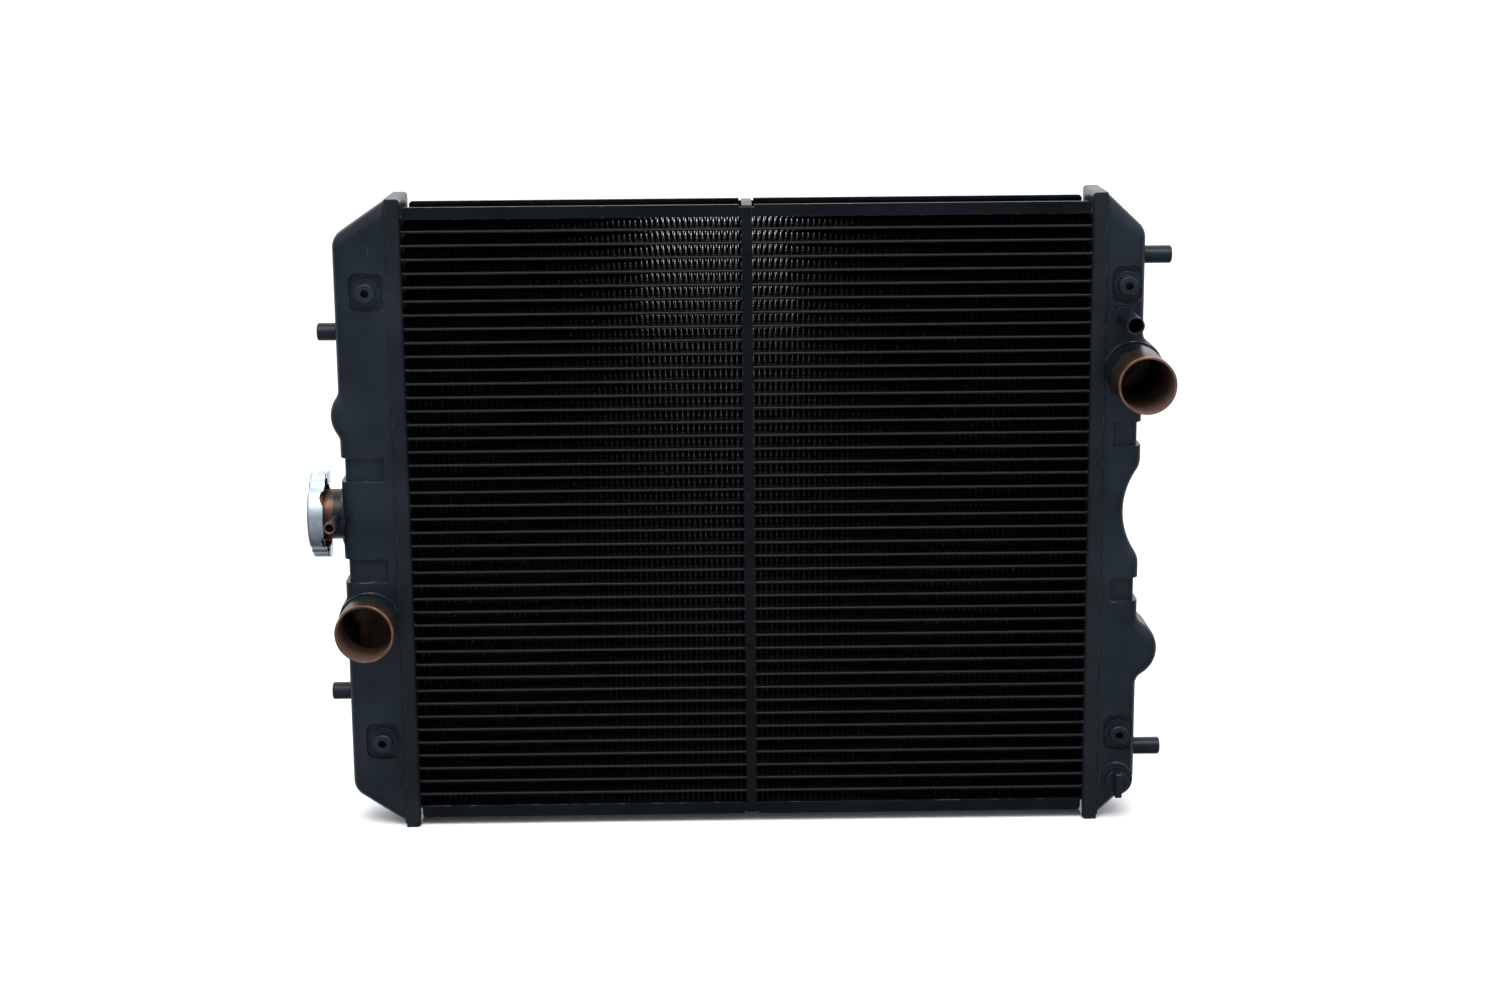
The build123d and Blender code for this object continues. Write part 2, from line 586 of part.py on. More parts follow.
def drain_plug():
    base = DRAIN_BOSS_THICKNESS + DRAIN_SEAL_THICKNESS + 2 * CONTACT_GAP
    top = base + DRAIN_HEAD_THICKNESS
    head = rod(DRAIN_HEAD_RADIUS, base, top)
    head = fillet(head.edges().filter_by(GeomType.CIRCLE), DRAIN_HEAD_EDGE)
    half = WING_WIDTH / 2
    wing = box((-WING_THICKNESS / 2, WING_THICKNESS / 2), (-half, half), (top - WING_ROOT, top + WING_RISE))
    wing = fillet(wing.edges().filter_by(Axis.X), WING_CORNER)
    wing = fillet(wing.faces().sort_by(Axis.Z)[-1].edges(), WING_TAPER)
    shank = rod(DRAIN_THREAD_RADIUS, base - DRAIN_SHANK_LENGTH, base)
    shank = chamfer(shank.edges().sort_by(Axis.Z)[0], DRAIN_TIP)
    return at_drain(head + wing + shank)


# ------------------------------------------------------------------ filler neck and cap
def sector(radius, angle, turn):
    """A wedge of a circle, its middle at the given turn from the ears' direction."""
    reach = 2 * radius
    half = radians(angle / 2)
    x, y = reach * cos(half), reach * sin(half)
    wedge = Polygon((0, 0), (x, -y), (x, y), align=None)
    return Rot(0, 0, turn) * wedge


def filler_neck():
    """The neck, its valve seat, and its flange with a cam rim that two notches interrupt."""
    neck = ring(NECK_RADIUS, NECK_BORE, SEAT_TOP - SEAT_THICKNESS, NECK_HEIGHT)
    neck += ring(NECK_RADIUS, SEAT_RADIUS, SEAT_TOP - SEAT_THICKNESS, SEAT_TOP)
    neck += ring(NECK_FLANGE_RADIUS, NECK_BORE, NECK_HEIGHT - NECK_FLANGE_SHEET, NECK_HEIGHT)
    rim_inner = NECK_FLANGE_RADIUS - NECK_FLANGE_SHEET
    neck += ring(NECK_FLANGE_RADIUS, rim_inner, NECK_HEIGHT - CAM_HEIGHT, NECK_HEIGHT)
    for turn in (0, 180):
        notch = extrude(sector(NECK_FLANGE_RADIUS, NOTCH_ANGLE, turn), amount=2 * NECK_HEIGHT)
        neck -= notch - rod(NOTCH_RADIUS, 0, 2 * NECK_HEIGHT)
    hole = Location((0, 0, OVERFLOW_HEIGHT)) * Rotation(90, 0, 0)
    neck -= hole * rod(OVERFLOW_RADIUS - STEP + SOLDER_GAP, 0, 2 * NECK_RADIUS)
    return on_neck(neck)


def overflow_nipple():
    start = NECK_BORE + SOLDER_GAP
    root = NECK_RADIUS + OVERFLOW_ROOT
    end = NECK_RADIUS + OVERFLOW_LENGTH
    bore = OVERFLOW_RADIUS - OVERFLOW_WALL
    tube = ring(OVERFLOW_RADIUS - STEP, bore, start, root)
    tube += ring(OVERFLOW_RADIUS, bore, root, end)
    return on_neck(Location((0, 0, OVERFLOW_HEIGHT)) * Rotation(90, 0, 0) * tube)


def cap_outline(inset):
    """A round cap with two ears and a hollow on each side of each ear, smaller all round by the inset."""
    outline = Circle(CAP_RADIUS - inset)
    for turn in (0, 180):
        outline += Rot(0, 0, turn) * Pos(CAP_EAR_REACH - CAP_EAR_RADIUS, 0) * Circle(CAP_EAR_RADIUS - inset)
        for side in (-1, 1):
            hollow = Pos(CAP_HOLLOW_REACH + CAP_HOLLOW_RADIUS, 0) * Circle(CAP_HOLLOW_RADIUS + inset)
            outline -= Rot(0, 0, turn + side * CAP_HOLLOW_ANGLE) * hollow
    return outline


def cap_shell():
    """The pressed cap: a dished face, a scalloped skirt, and two lugs turned in under the cam rim."""
    skirt_end = CAP_FACE - CAP_SKIRT
    outline = cap_outline(0.0)
    outer = Pos(0, 0, skirt_end) * extrude(outline, amount=CAP_SKIRT)
    outer = fillet(outer.faces().sort_by(Axis.Z)[-1].edges(), CAP_EDGE)
    inner = Pos(0, 0, skirt_end) * extrude(cap_outline(CAP_SHEET), amount=CAP_SKIRT - CAP_SHEET)
    inner = fillet(inner.faces().sort_by(Axis.Z)[-1].edges(), CAP_EDGE - CAP_SHEET)
    shell = outer - inner

    scallop = Location((0, 0, skirt_end + CAP_SCALLOP_DEPTH - CAP_SCALLOP_RADIUS)) * Rotation(0, 90, 0)
    for turn in (0, 180):
        for side in (-1, 1):
            turned = Rot(0, 0, turn + side * CAP_SCALLOP_ANGLE) * scallop
            shell -= turned * rod(CAP_SCALLOP_RADIUS, 0, 2 * CAP_RADIUS)

    floor_top = SHELL_BASE + CAP_SHEET
    shell -= rod(CAP_DISH_TOP_RADIUS, CAP_FACE - 2 * CAP_SHEET, CAP_FACE)
    profile = Polygon(
        (0, floor_top), (CAP_DISH_RADIUS, floor_top), (CAP_DISH_TOP_RADIUS, CAP_FACE),
        (CAP_DISH_TOP_RADIUS + CAP_SHEET, CAP_FACE), (CAP_DISH_TOP_RADIUS + CAP_SHEET, CAP_FACE - CAP_SHEET),
        (CAP_DISH_RADIUS + CAP_SHEET, SHELL_BASE), (0, SHELL_BASE), align=None,
    )
    shell += revolve(Plane.XZ * profile, axis=Axis.Z)
    shell -= rod(RIVET_RADIUS + RUNNING_GAP, 0, CAP_FACE)

    lug_base = LUG_TOP - LUG_SHEET
    arm = ring(CAP_EAR_REACH, CAP_EAR_REACH - CAP_SHEET, lug_base, skirt_end + CAP_EDGE)
    tab = ring(CAP_EAR_REACH, LUG_REACH, lug_base, LUG_TOP)
    trim = Pos(0, 0, lug_base) * extrude(outline, amount=CAP_SKIRT)
    for turn in (0, 180):
        wedge = extrude(sector(CAP_EAR_REACH, LUG_ANGLE, turn), amount=CAP_FACE)
        shell += (arm + tab) & wedge & trim
    return on_neck(shell)


def cap_gasket():
    gasket = ring(NOTCH_RADIUS - GASKET_MARGIN, NECK_BORE + GASKET_SETBACK, GASKET_BASE, DISC_BASE)
    return on_neck(gasket)


def cap_spring_disc():
    return on_neck(ring(NOTCH_RADIUS - DISC_MARGIN, RIVET_RADIUS, DISC_BASE, DISC_BASE + DISC_THICKNESS))


def cap_rivet():
    """Holds the bell and the disc together, and the shell turns on its shank."""
    upper = SHELL_BASE + CAP_SHEET + CONTACT_GAP
    lower = DISC_BASE - BELL_SHEET
    rivet = rod(RIVET_RADIUS, lower, upper)
    rivet += rod(RIVET_HEAD_RADIUS, upper, upper + RIVET_HEAD)
    rivet += rod(RIVET_HEAD_RADIUS, lower - RIVET_HEAD, lower)
    return on_neck(rivet)


def cap_bell():
    """The cup that carries the pressure valve, with a lip that keeps the valve in."""
    bell = ring(BELL_RADIUS, BELL_RADIUS - BELL_SHEET, BELL_BASE, DISC_BASE)
    bell += ring(BELL_RADIUS, RIVET_RADIUS, DISC_BASE - BELL_SHEET, DISC_BASE)
    bell += ring(BELL_RADIUS, BELL_LIP_RADIUS, BELL_BASE, BELL_BASE + BELL_SHEET)
    return on_neck(bell)


def pressure_plate():
    """The valve's moving cup: a base over the seal, a wall through the bell's lip, and a flange over it."""
    inner = VALVE_CUP_RADIUS - VALVE_SHEET
    flange_top = VALVE_FLANGE_BASE + VALVE_SHEET
    plate = ring(VALVE_SEAL_RADIUS, VACUUM_PORT_RADIUS, VALVE_BASE, VALVE_BASE + VALVE_SHEET)
    plate += ring(VALVE_CUP_RADIUS, inner, VALVE_BASE, flange_top)
    plate += ring(VALVE_FLANGE_RADIUS, inner, VALVE_FLANGE_BASE, flange_top)
    return on_neck(plate)


def pressure_seal():
    return on_neck(ring(VALVE_SEAL_RADIUS, VALVE_SEAL_INNER, SEAL_BASE, VALVE_BASE))


def coil_spring(radius, wire, turns, low, high):
    """A coil between two heights, clear of both by a contact gap."""
    height = high - low - wire - 2 * CONTACT_GAP
    path = Pos(0, 0, low + wire / 2 + CONTACT_GAP) * Helix(height / turns, height, radius)
    section = Plane(origin=path @ 0, z_dir=path % 0) * Circle(wire / 2)
    return sweep(section, path=path, is_frenet=True)


def pressure_spring():
    base = VALVE_FLANGE_BASE + VALVE_SHEET
    top = DISC_BASE - BELL_SHEET
    return on_neck(coil_spring(PRESSURE_COIL_RADIUS, PRESSURE_WIRE, PRESSURE_TURNS, base, top))


def vacuum_valve():
    """A disc under the valve plate, hung through its port by a stem with a button."""
    top = VALVE_BASE - CONTACT_GAP
    plate_top = VALVE_BASE + VALVE_SHEET
    valve = rod(VACUUM_DISC_RADIUS, top - VALVE_SHEET, top)
    valve += rod(VACUUM_STEM_RADIUS, top - VALVE_SHEET, plate_top + VACUUM_STEM_LENGTH)
    button = plate_top + VACUUM_STEM_LENGTH
    valve += rod(VACUUM_BUTTON_RADIUS, button, button + VACUUM_BUTTON)
    return on_neck(valve)


def vacuum_spring():
    base = VALVE_BASE + VALVE_SHEET
    top = base + VACUUM_STEM_LENGTH
    return on_neck(coil_spring(VACUUM_COIL_RADIUS, VACUUM_WIRE, VACUUM_TURNS, base, top))


# ------------------------------------------------------------------ the whole part
def all_pieces():
    top_plate = side_plate()
    tray = header_plate()
    pieces = {
        "core_tubes": core_tubes(),
        "core_fins": core_fins(),
        "top_side_plate": top_plate,
        "bottom_side_plate": mirror(top_plate, about=Plane.XY.offset(MIDDLE)),
        "centre_strap": centre_strap(),
        "filler_header": mirrored(tray),
        "drain_header": tray,
        "filler_tank": filler_tank(),
        "drain_tank": drain_tank(),
        "inlet_stub": mirrored(hose_stub(INLET_X, INLET_HEIGHT, INLET_RADIUS, INLET_LENGTH)),
        "outlet_stub": hose_stub(OUTLET_X, OUTLET_HEIGHT, OUTLET_RADIUS, OUTLET_LENGTH),
        "bypass_nipple": bypass_nipple(),
        "drain_boss": drain_boss(),
        "drain_seal": drain_seal(),
        "drain_plug": drain_plug(),
        "filler_neck": filler_neck(),
        "overflow_nipple": overflow_nipple(),
        "cap_shell": cap_shell(),
        "cap_gasket": cap_gasket(),
        "cap_spring_disc": cap_spring_disc(),
        "cap_rivet": cap_rivet(),
        "cap_bell": cap_bell(),
        "pressure_spring": pressure_spring(),
        "pressure_plate": pressure_plate(),
        "pressure_seal": pressure_seal(),
        "vacuum_valve": vacuum_valve(),
        "vacuum_spring": vacuum_spring(),
    }
    for name, side in (("upper", 1), ("lower", -1)):
        filler_pin = mounting_pin(FILLER_WALL, FILLER_PIN_LENGTH, side * FILLER_PIN_OFFSET)
        drain_pin = mounting_pin(DRAIN_WALL, DRAIN_PIN_LENGTH, side * DRAIN_PIN_OFFSET)
        pieces[f"mounting_pin_filler_{name}"] = mirrored(filler_pin)
        pieces[f"mounting_pin_drain_{name}"] = drain_pin
        boss = threaded_boss(side * BOSS_HEIGHT)
        pieces[f"threaded_boss_filler_{name}"] = mirrored(boss)
        pieces[f"threaded_boss_drain_{name}"] = boss
    return pieces


pieces = all_pieces()
whole = Compound(list(pieces.values())).bounding_box()
to_origin = Pos(-whole.center().X, -whole.center().Y, -whole.min.Z)
os.makedirs("parts", exist_ok=True)
for name, piece in pieces.items():
    export_step(to_origin * piece, f"parts/{name}.step")
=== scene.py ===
"""The looks of the car radiator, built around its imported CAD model. Lengths are in metres."""

from math import cos, pi, radians, sin
import random

import bpy
from mathutils import Matrix, Vector


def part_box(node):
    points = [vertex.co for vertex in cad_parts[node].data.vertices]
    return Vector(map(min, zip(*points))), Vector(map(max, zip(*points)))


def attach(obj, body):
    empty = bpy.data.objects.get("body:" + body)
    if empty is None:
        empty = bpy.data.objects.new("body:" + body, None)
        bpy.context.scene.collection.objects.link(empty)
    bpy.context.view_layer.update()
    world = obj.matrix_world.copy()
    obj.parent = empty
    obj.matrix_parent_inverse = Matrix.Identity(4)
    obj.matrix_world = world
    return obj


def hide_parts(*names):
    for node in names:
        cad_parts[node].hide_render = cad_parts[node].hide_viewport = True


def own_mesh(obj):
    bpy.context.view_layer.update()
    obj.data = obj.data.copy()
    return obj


MM = 0.001
SEED = 7

# The camera: a 62 mm lens a metre and a half away, looking slightly down
LENS = 62.4
DISTANCE = 1.6125
YAW = radians(0.656)
PITCH = radians(12.132)
ROLL = radians(0.495)
TARGET_OFFSET = Vector((0.52, 0.0, 10.47)) * MM

# The studio's brightness towards each side
WORLD_SIDE = 0.05
WORLD_TOP = 1.35
WORLD_BACK = 1.10
WORLD_FRONT = 0.42
WORLD_SEEN = 1.10           # the plain background that the camera sees past the floor

# The core's real folding, which is finer than the CAD model's stand-in
TUBE_LEVELS = 43
TUBE_THICKNESS = 2.0 * MM
FIN_PITCH = 3.4 * MM
FIN_CREST = 0.4 * MM
FIN_BORDER = 0.9 * MM
LOUVRES = 12
LOUVRE_ANGLE = radians(14)
LOUVRE_SPACE = 0.35 * MM
STUB_WALL = 1.3 * MM

# The springs in the cap
COIL_STEPS = 28
WIRE_SIDES = 8
PRESSURE_WIRE = 1.6 * MM
PRESSURE_TURNS = 3
VACUUM_WIRE = 0.5 * MM
VACUUM_TURNS = 4

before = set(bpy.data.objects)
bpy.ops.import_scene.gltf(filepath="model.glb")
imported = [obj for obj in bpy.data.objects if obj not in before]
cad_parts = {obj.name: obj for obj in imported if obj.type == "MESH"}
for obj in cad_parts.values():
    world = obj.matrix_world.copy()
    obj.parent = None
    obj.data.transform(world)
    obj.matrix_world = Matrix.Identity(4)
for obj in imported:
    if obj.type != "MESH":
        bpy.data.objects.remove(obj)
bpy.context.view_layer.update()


# ------------------------------------------------------------------ node materials
class Look:
    """A procedural material, built by calls that each add one node."""

    def __init__(self, name):
        self.material = bpy.data.materials.new(name)
        self.material.use_nodes = True
        self.tree = self.material.node_tree
        self.tree.nodes.clear()
        self.place = self.add("ShaderNodeTexCoord").outputs["Object"]
        self.shader = self.add("ShaderNodeBsdfPrincipled")
        out = self.add("ShaderNodeOutputMaterial")
        self.tree.links.new(self.shader.outputs["BSDF"], out.inputs["Surface"])

    def add(self, kind, **settings):
        node = self.tree.nodes.new(kind)
        for key, value in settings.items():
            setattr(node, key, value)
        return node

    def put(self, node, key, value):
        """Links a socket, or sets a plain value on the node's own socket."""
        socket = node.inputs[key]
        if isinstance(value, bpy.types.NodeSocket):
            self.tree.links.new(value, socket)
        elif hasattr(value, "__len__") and len(value) == 3 and len(socket.default_value) == 4:
            socket.default_value = (*value, 1.0)
        else:
            socket.default_value = value

    def math(self, operation, a, b=None, clamp=False):
        node = self.add("ShaderNodeMath", operation=operation, use_clamp=clamp)
        self.put(node, 0, a)
        if b is not None:
            self.put(node, 1, b)
        return node.outputs[0]

    def noise(self, size, detail=3.0, stretch=(1.0, 1.0, 1.0), rough=0.55):
        """Noise whose features are about this size, in metres."""
        mapping = self.add("ShaderNodeMapping")
        self.put(mapping, "Vector", self.place)
        self.put(mapping, "Scale", [1.0 / s for s in stretch])
        node = self.add("ShaderNodeTexNoise")
        self.put(node, "Vector", mapping.outputs[0])
        self.put(node, "Scale", 1.0 / size)
        self.put(node, "Detail", detail)
        self.put(node, "Roughness", rough)
        return node.outputs["Fac"]

    def span(self, value, low, high, to_low=0.0, to_high=1.0):
        node = self.add("ShaderNodeMapRange")
        self.put(node, "Value", value)
        for key, number in (("From Min", low), ("From Max", high), ("To Min", to_low), ("To Max", to_high)):
            self.put(node, key, number)
        return node.outputs[0]

    def mix(self, factor, a, b):
        node = self.add("ShaderNodeMix", data_type="RGBA")
        self.put(node, 0, factor)
        self.put(node, 6, a)
        self.put(node, 7, b)
        return node.outputs[2]

    def coordinate(self, axis):
        node = self.add("ShaderNodeSeparateXYZ")
        self.put(node, 0, self.place)
        return node.outputs[axis]

    def rounded(self, radius):
        """The surface's normal with its edges softened."""
        node = self.add("ShaderNodeBevel", samples=4)
        self.put(node, "Radius", radius)
        return node.outputs[0]

    def edges(self, normal, low=0.02, high=0.25):
        """Where the softened normal leaves the flat one: the edges."""
        geometry = self.add("ShaderNodeNewGeometry")
        dot = self.add("ShaderNodeVectorMath", operation="DOT_PRODUCT")
        self.put(dot, 0, normal)
        self.put(dot, 1, geometry.outputs["True Normal"])
        return self.span(self.math("SUBTRACT", 1.0, dot.outputs["Value"]), low, high)

    def bump(self, height, distance, strength=1.0, normal=None):
        node = self.add("ShaderNodeBump")
        self.put(node, "Height", height)
        self.put(node, "Distance", distance)
        self.put(node, "Strength", strength)
        if normal is not None:
            self.put(node, "Normal", normal)
        return node.outputs[0]

    def finish(self, **sockets):
        names = {
            "colour": "Base Color", "metallic": "Metallic", "roughness": "Roughness", "normal": "Normal",
            "specular": "Specular IOR Level", "coat": "Coat Weight", "coat_roughness": "Coat Roughness",
        }
        for key, value in sockets.items():
            self.put(self.shader, names[key], value)
        return self.material


PAINT_DARK = (0.0030, 0.0060, 0.0098)
PAINT_BLUE = (0.0074, 0.0130, 0.0200)
BARE_COPPER = (0.33, 0.17, 0.12)
COPPER_DULL = (0.15, 0.080, 0.058)
COPPER_BROWN = (0.070, 0.038, 0.026)
RIM_CREAM = (0.58, 0.42, 0.32)
INSIDE_BROWN = (0.115, 0.064, 0.045)
INSIDE_GREY = (0.098, 0.074, 0.060)
INSIDE_BRASS = (0.260, 0.155, 0.100)
SOLDER = (0.36, 0.36, 0.35)
WORN_METAL = (0.16, 0.135, 0.11)


def paint_layers(look, edge_radius=0.7 * MM, wear=1.0, shade_tint=1.0):
    """Satin spray paint: an uneven colour, an orange peel, dust, and rubbed edges. Gives its four parts."""
    # The colour factor darkens the whole paint; below 1 it makes a darker copy of the same paint, as painted shade.
    dark = [shade_tint * value for value in PAINT_DARK]
    blue = [shade_tint * value for value in PAINT_BLUE]
    soft = look.rounded(edge_radius)
    cloud = look.noise(45 * MM, 2.0)
    fine = look.noise(2.2 * MM, 2.0)
    specks = look.span(look.noise(1.1 * MM, 1.0), 0.72, 0.80)
    colour = look.mix(look.span(cloud, 0.3, 0.7), dark, blue)
    colour = look.mix(look.math("MULTIPLY", specks, 0.30), colour, (0.030, 0.032, 0.036))
    scratch = look.span(look.noise(2.4 * MM, 2.0, (1.0, 1.0, 14.0)), 0.735, 0.760)
    scratch = look.math("MULTIPLY", scratch, look.span(look.noise(60 * MM, 1.0), 0.56, 0.66))
    colour = look.mix(look.math("MULTIPLY", scratch, 0.5), colour, (0.060, 0.064, 0.070))
    patches = look.span(look.noise(7 * MM, 4.0), 0.52, 0.62)
    rubbed = look.math("MULTIPLY", look.math("MULTIPLY", look.edges(soft), patches), wear, clamp=True)
    colour = look.mix(rubbed, colour, WORN_METAL)
    roughness = look.math("ADD", look.span(cloud, 0.3, 0.7, 0.27, 0.37), look.span(fine, 0.3, 0.7, -0.03, 0.04))
    peel = look.bump(fine, 0.05 * MM, 0.35, soft)
    normal = look.bump(look.noise(14 * MM, 1.0), 0.35 * MM, 0.35, peel)
    return colour, roughness, normal, rubbed


def black_paint(name, edge_radius=0.7 * MM, wear=1.0, specular=0.20, shade_tint=1.0):
    look = Look(name)
    colour, roughness, normal, rubbed = paint_layers(look, edge_radius, wear, shade_tint)
    return look.finish(
        colour=colour, roughness=roughness, normal=normal, specular=specular,
        metallic=look.math("MULTIPLY", rubbed, 0.8),
    )


def tank_paint():
    """The tanks' paint, with the back wall's inside left as bare, stained brass."""
    look = Look("black_paint_tank")
    colour, roughness, normal, rubbed = paint_layers(look)
    geometry = look.add("ShaderNodeNewGeometry")
    facing = look.add("ShaderNodeSeparateXYZ")
    look.put(facing, 0, geometry.outputs["True Normal"])
    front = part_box("drain_tank")[0].y
    deep = look.span(look.coordinate("Y"), front + 8 * MM, front + 10 * MM)
    inside = look.math("MULTIPLY", deep, look.span(facing.outputs["Y"], -0.5, -0.7))
    stain = look.span(look.noise(9 * MM, 4.0), 0.35, 0.65)
    colour = look.mix(inside, colour, look.mix(stain, INSIDE_BROWN, INSIDE_BRASS))
    return look.finish(
        colour=colour, roughness=roughness, normal=normal, specular=0.20,
        metallic=look.math("MULTIPLY", rubbed, 0.8),
    )


def part_bare(name, axis, paint_at, bare_at, node=None, bore=0.0, tone=1.0):
    """Paint that thins out along an axis to bare copper, with a ragged limit and a brown, stained bore that is
    painted darker deeper in as painted shade.
    """
    look = Look(name)
    colour, roughness, normal, rubbed = paint_layers(look)
    along = look.span(look.coordinate(axis), paint_at, bare_at)
    ragged = look.math("ADD", along, look.span(look.noise(5 * MM, 3.0), 0.3, 0.7, -0.22, 0.22))
    bare = look.span(ragged, 0.42, 0.60)
    hue = look.noise(9 * MM, 4.0)
    copper = look.mix(
        look.span(hue, 0.35, 0.68), [tone * value for value in COPPER_DULL], [tone * value for value in BARE_COPPER]
    )
    brown = look.span(look.noise(16 * MM, 3.0, (1.0, 1.0, 3.0)), 0.50, 0.66)
    if node:
        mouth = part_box(node)[0].y
        brown = look.math("MAXIMUM", brown, look.span(look.coordinate("Y"), mouth + 1.5 * MM, mouth + 5 * MM))
    copper = look.mix(look.math("MULTIPLY", brown, 0.85), copper, COPPER_BROWN)
    scratches = look.noise(1.2 * MM, 3.0, (6.0, 1.0, 6.0) if axis == "Y" else (1.0, 6.0, 6.0))
    copper_roughness = look.span(scratches, 0.3, 0.7, 0.30, 0.50)
    mixed = look.add("ShaderNodeMix", data_type="FLOAT")
    look.put(mixed, 0, bare)
    look.put(mixed, 2, roughness)
    look.put(mixed, 3, copper_roughness)
    metal = look.math("MULTIPLY", look.math("MAXIMUM", bare, look.math("MULTIPLY", rubbed, 0.8)), 0.85)
    copper = look.mix(look.math("MULTIPLY", look.edges(look.rounded(0.35 * MM)), 0.8), copper, RIM_CREAM)
    colour = look.mix(bare, colour, copper)
    if node:
        low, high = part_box(node)
        x = look.math("SUBTRACT", look.coordinate("X"), (low.x + high.x) / 2)
        z = look.math("SUBTRACT", look.coordinate("Z"), (low.z + high.z) / 2)
        radius = look.math("SQRT", look.math("ADD", look.math("MULTIPLY", x, x), look.math("MULTIPLY", z, z)))
        inside = look.span(radius, bore + 0.25 * MM, bore + 0.15 * MM)
        # The bore's lining: random brown stains, painted darker deeper in towards the tank as painted shade.
        depth = look.math("ADD", look.coordinate("Y"), look.span(look.noise(8 * MM, 2.0), 0.3, 0.7, -2 * MM, 2 * MM))
        bore_shade = look.span(depth, low.y + 16 * MM, low.y + 11 * MM)
        stain = look.span(look.noise(7 * MM, 4.0), 0.35, 0.65)
        tone = look.mix(bore_shade, look.mix(stain, COPPER_BROWN, INSIDE_BROWN), look.mix(stain, INSIDE_BROWN, INSIDE_GREY))
        colour = look.mix(inside, colour, tone)
        metal = look.math("MULTIPLY", metal, look.math("SUBTRACT", 1.0, look.math("MULTIPLY", inside, 0.9)))
    return look.finish(
        colour=colour, roughness=mixed.outputs[0], normal=normal, metallic=metal, specular=0.25,
    )


def tube_look():
    """Thin paint over brass: grey and dusty on the noses, darker behind."""
    look = Look("tube_paint")
    y = look.coordinate("Y")
    low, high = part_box("core_tubes")
    front = look.span(y, low.y, low.y + 2.0 * MM, 1.0, 0.0)
    streaks = look.noise(3.5 * MM, 3.0, (9.0, 1.0, 1.0))
    dust = look.math("MULTIPLY", front, look.span(streaks, 0.35, 0.65, 0.35, 1.0))
    colour = look.mix(dust, (0.0010, 0.0012, 0.0015), (0.0042, 0.0052, 0.0064))
    return look.finish(
        colour=colour, roughness=look.span(streaks, 0.3, 0.7, 0.36, 0.52), specular=0.17,
        normal=look.bump(streaks, 0.08 * MM, 0.5),
    )


def fin_look():
    look = Look("fin_paint")
    patches = look.noise(12 * MM, 3.0)
    grain = look.noise(0.9 * MM, 2.0)
    colour = look.mix(look.span(patches, 0.35, 0.65), (0.0014, 0.0015, 0.0017), (0.0036, 0.0038, 0.0042))
    colour = look.mix(look.span(grain, 0.62, 0.80, 0.0, 0.4), colour, (0.012, 0.0118, 0.011))
    return look.finish(
        colour=colour, roughness=look.span(grain, 0.3, 0.7, 0.55, 0.70), specular=0.03,
        normal=look.bump(grain, 0.03 * MM, 0.4),
    )


def zinc_look():
    """Bright zinc plate on pressed steel, with rubbed edges and faint rolling marks."""
    look = Look("zinc_plate")
    soft = look.rounded(0.6 * MM)
    cloud = look.noise(6 * MM, 3.0)
    marks = look.noise(1.0 * MM, 3.0, (1.0, 9.0, 1.0))
    colour = look.mix(look.span(cloud, 0.35, 0.65), (0.44, 0.52, 0.62), (0.60, 0.67, 0.76))
    colour = look.mix(look.math("MULTIPLY", look.edges(soft), 0.6), colour, (0.80, 0.85, 0.90))
    dull = look.span(look.noise(3.0 * MM, 4.0), 0.60, 0.72)
    colour = look.mix(look.math("MULTIPLY", dull, 0.45), colour, (0.34, 0.36, 0.38))
    return look.finish(
        colour=colour, metallic=1.0, roughness=look.span(marks, 0.3, 0.7, 0.22, 0.34),
        normal=look.bump(marks, 0.02 * MM, 0.4, soft),
    )


def rubber_look(name="rubber"):
    look = Look(name)
    grain = look.noise(0.5 * MM, 3.0)
    cloud = look.noise(5 * MM, 2.0)
    colour = look.mix(look.span(cloud, 0.35, 0.65), (0.010, 0.010, 0.010), (0.024, 0.023, 0.022))
    return look.finish(
        colour=colour, roughness=look.span(grain, 0.3, 0.7, 0.55, 0.72), specular=0.4,
        normal=look.bump(grain, 0.03 * MM, 0.5, look.rounded(0.25 * MM)),
    )


def metal_look(name, light, dark, low, high, stretch=(8.0, 1.0, 1.0), edge=0.3 * MM):
    """Bare drawn or turned metal, with marks along one way and a dull bloom."""
    look = Look(name)
    soft = look.rounded(edge)
    marks = look.noise(0.8 * MM, 3.0, stretch)
    bloom = look.noise(4 * MM, 3.0)
    colour = look.mix(look.span(bloom, 0.35, 0.65), dark, light)
    colour = look.mix(look.math("MULTIPLY", look.edges(soft), 0.5), colour, light)
    return look.finish(
        colour=colour, metallic=1.0, roughness=look.span(marks, 0.3, 0.7, low, high),
        normal=look.bump(marks, 0.02 * MM, 0.5, soft),
    )


def floor_look():
    look = Look("floor")
    cloud = look.noise(0.4, 2.0)
    return look.finish(
        colour=look.mix(look.span(cloud, 0.3, 0.7), (0.925, 0.925, 0.93), (0.94, 0.94, 0.945)), roughness=0.9,
        specular=0.1,
    )


def wear(node, material):
    """Gives a carried-over CAD piece its material."""
    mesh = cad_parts[node].data
    mesh.materials.clear()
    mesh.materials.append(material)


tank_black = tank_paint()
# The side plates, the strap and the headers take darker copies of the tanks' black paint (0.30 and 0.70 of its
# colour): painted shade, not a different paint.
plate_paint = black_paint("black_paint_plates", 0.5 * MM, 0.8, 0.12, 0.30)
header_paint = black_paint("black_paint_header", 1.0 * MM, 1.0, 0.26, 0.70)
thick_paint = black_paint("black_paint_small_parts", 0.45 * MM, 0.6)
steel = metal_look("spring_steel", (0.62, 0.62, 0.61), (0.34, 0.34, 0.35), 0.22, 0.36)
brass = metal_look("brass", (0.72, 0.52, 0.24), (0.40, 0.27, 0.12), 0.20, 0.36)
rubber = rubber_look()
zinc = zinc_look()
inlet_low, inlet_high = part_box("inlet_stub")
outlet_low, outlet_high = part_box("outlet_stub")
neck_low, neck_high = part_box("filler_neck")
drip_low, drip_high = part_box("overflow_nipple")

